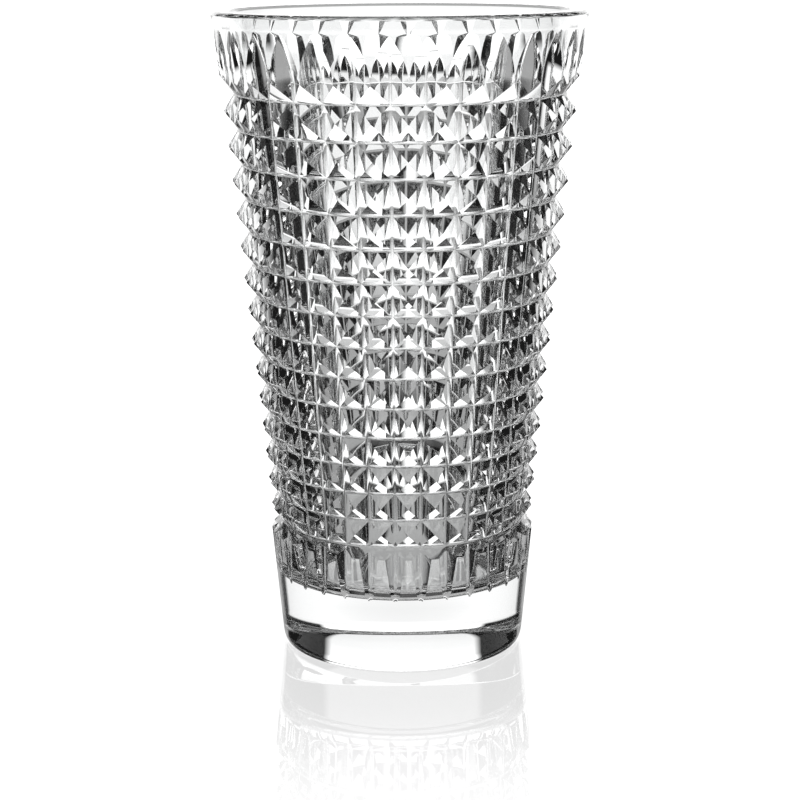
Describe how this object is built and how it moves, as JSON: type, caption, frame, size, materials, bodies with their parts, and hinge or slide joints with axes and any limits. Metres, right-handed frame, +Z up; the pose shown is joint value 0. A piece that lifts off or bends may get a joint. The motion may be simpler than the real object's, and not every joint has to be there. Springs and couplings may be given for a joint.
{
  "type": "cut crystal vase",
  "caption": "Tall flared clear crystal vase, cut all over with rows of diamond points, flames below a plain lip, and a thick solid base.",
  "frame": {"origin": "centre of the flat underside, on the surface the vase stands on", "axes": "+Z up along the vase's axis towards the rim; an upright groove lies on each of +X, -X, +Y and -Y"},
  "size_m": [0.1446, 0.1446, 0.25],
  "materials": {
    "crystal": "clear polished cut crystal, colourless"
  },
  "bodies": {
    "root": {"rim_lip": "crystal", "flame_collar": "crystal", "diamond_wall": "crystal", "tail_band": "crystal", "base_block": "crystal"}
  },
  "joints": []
}
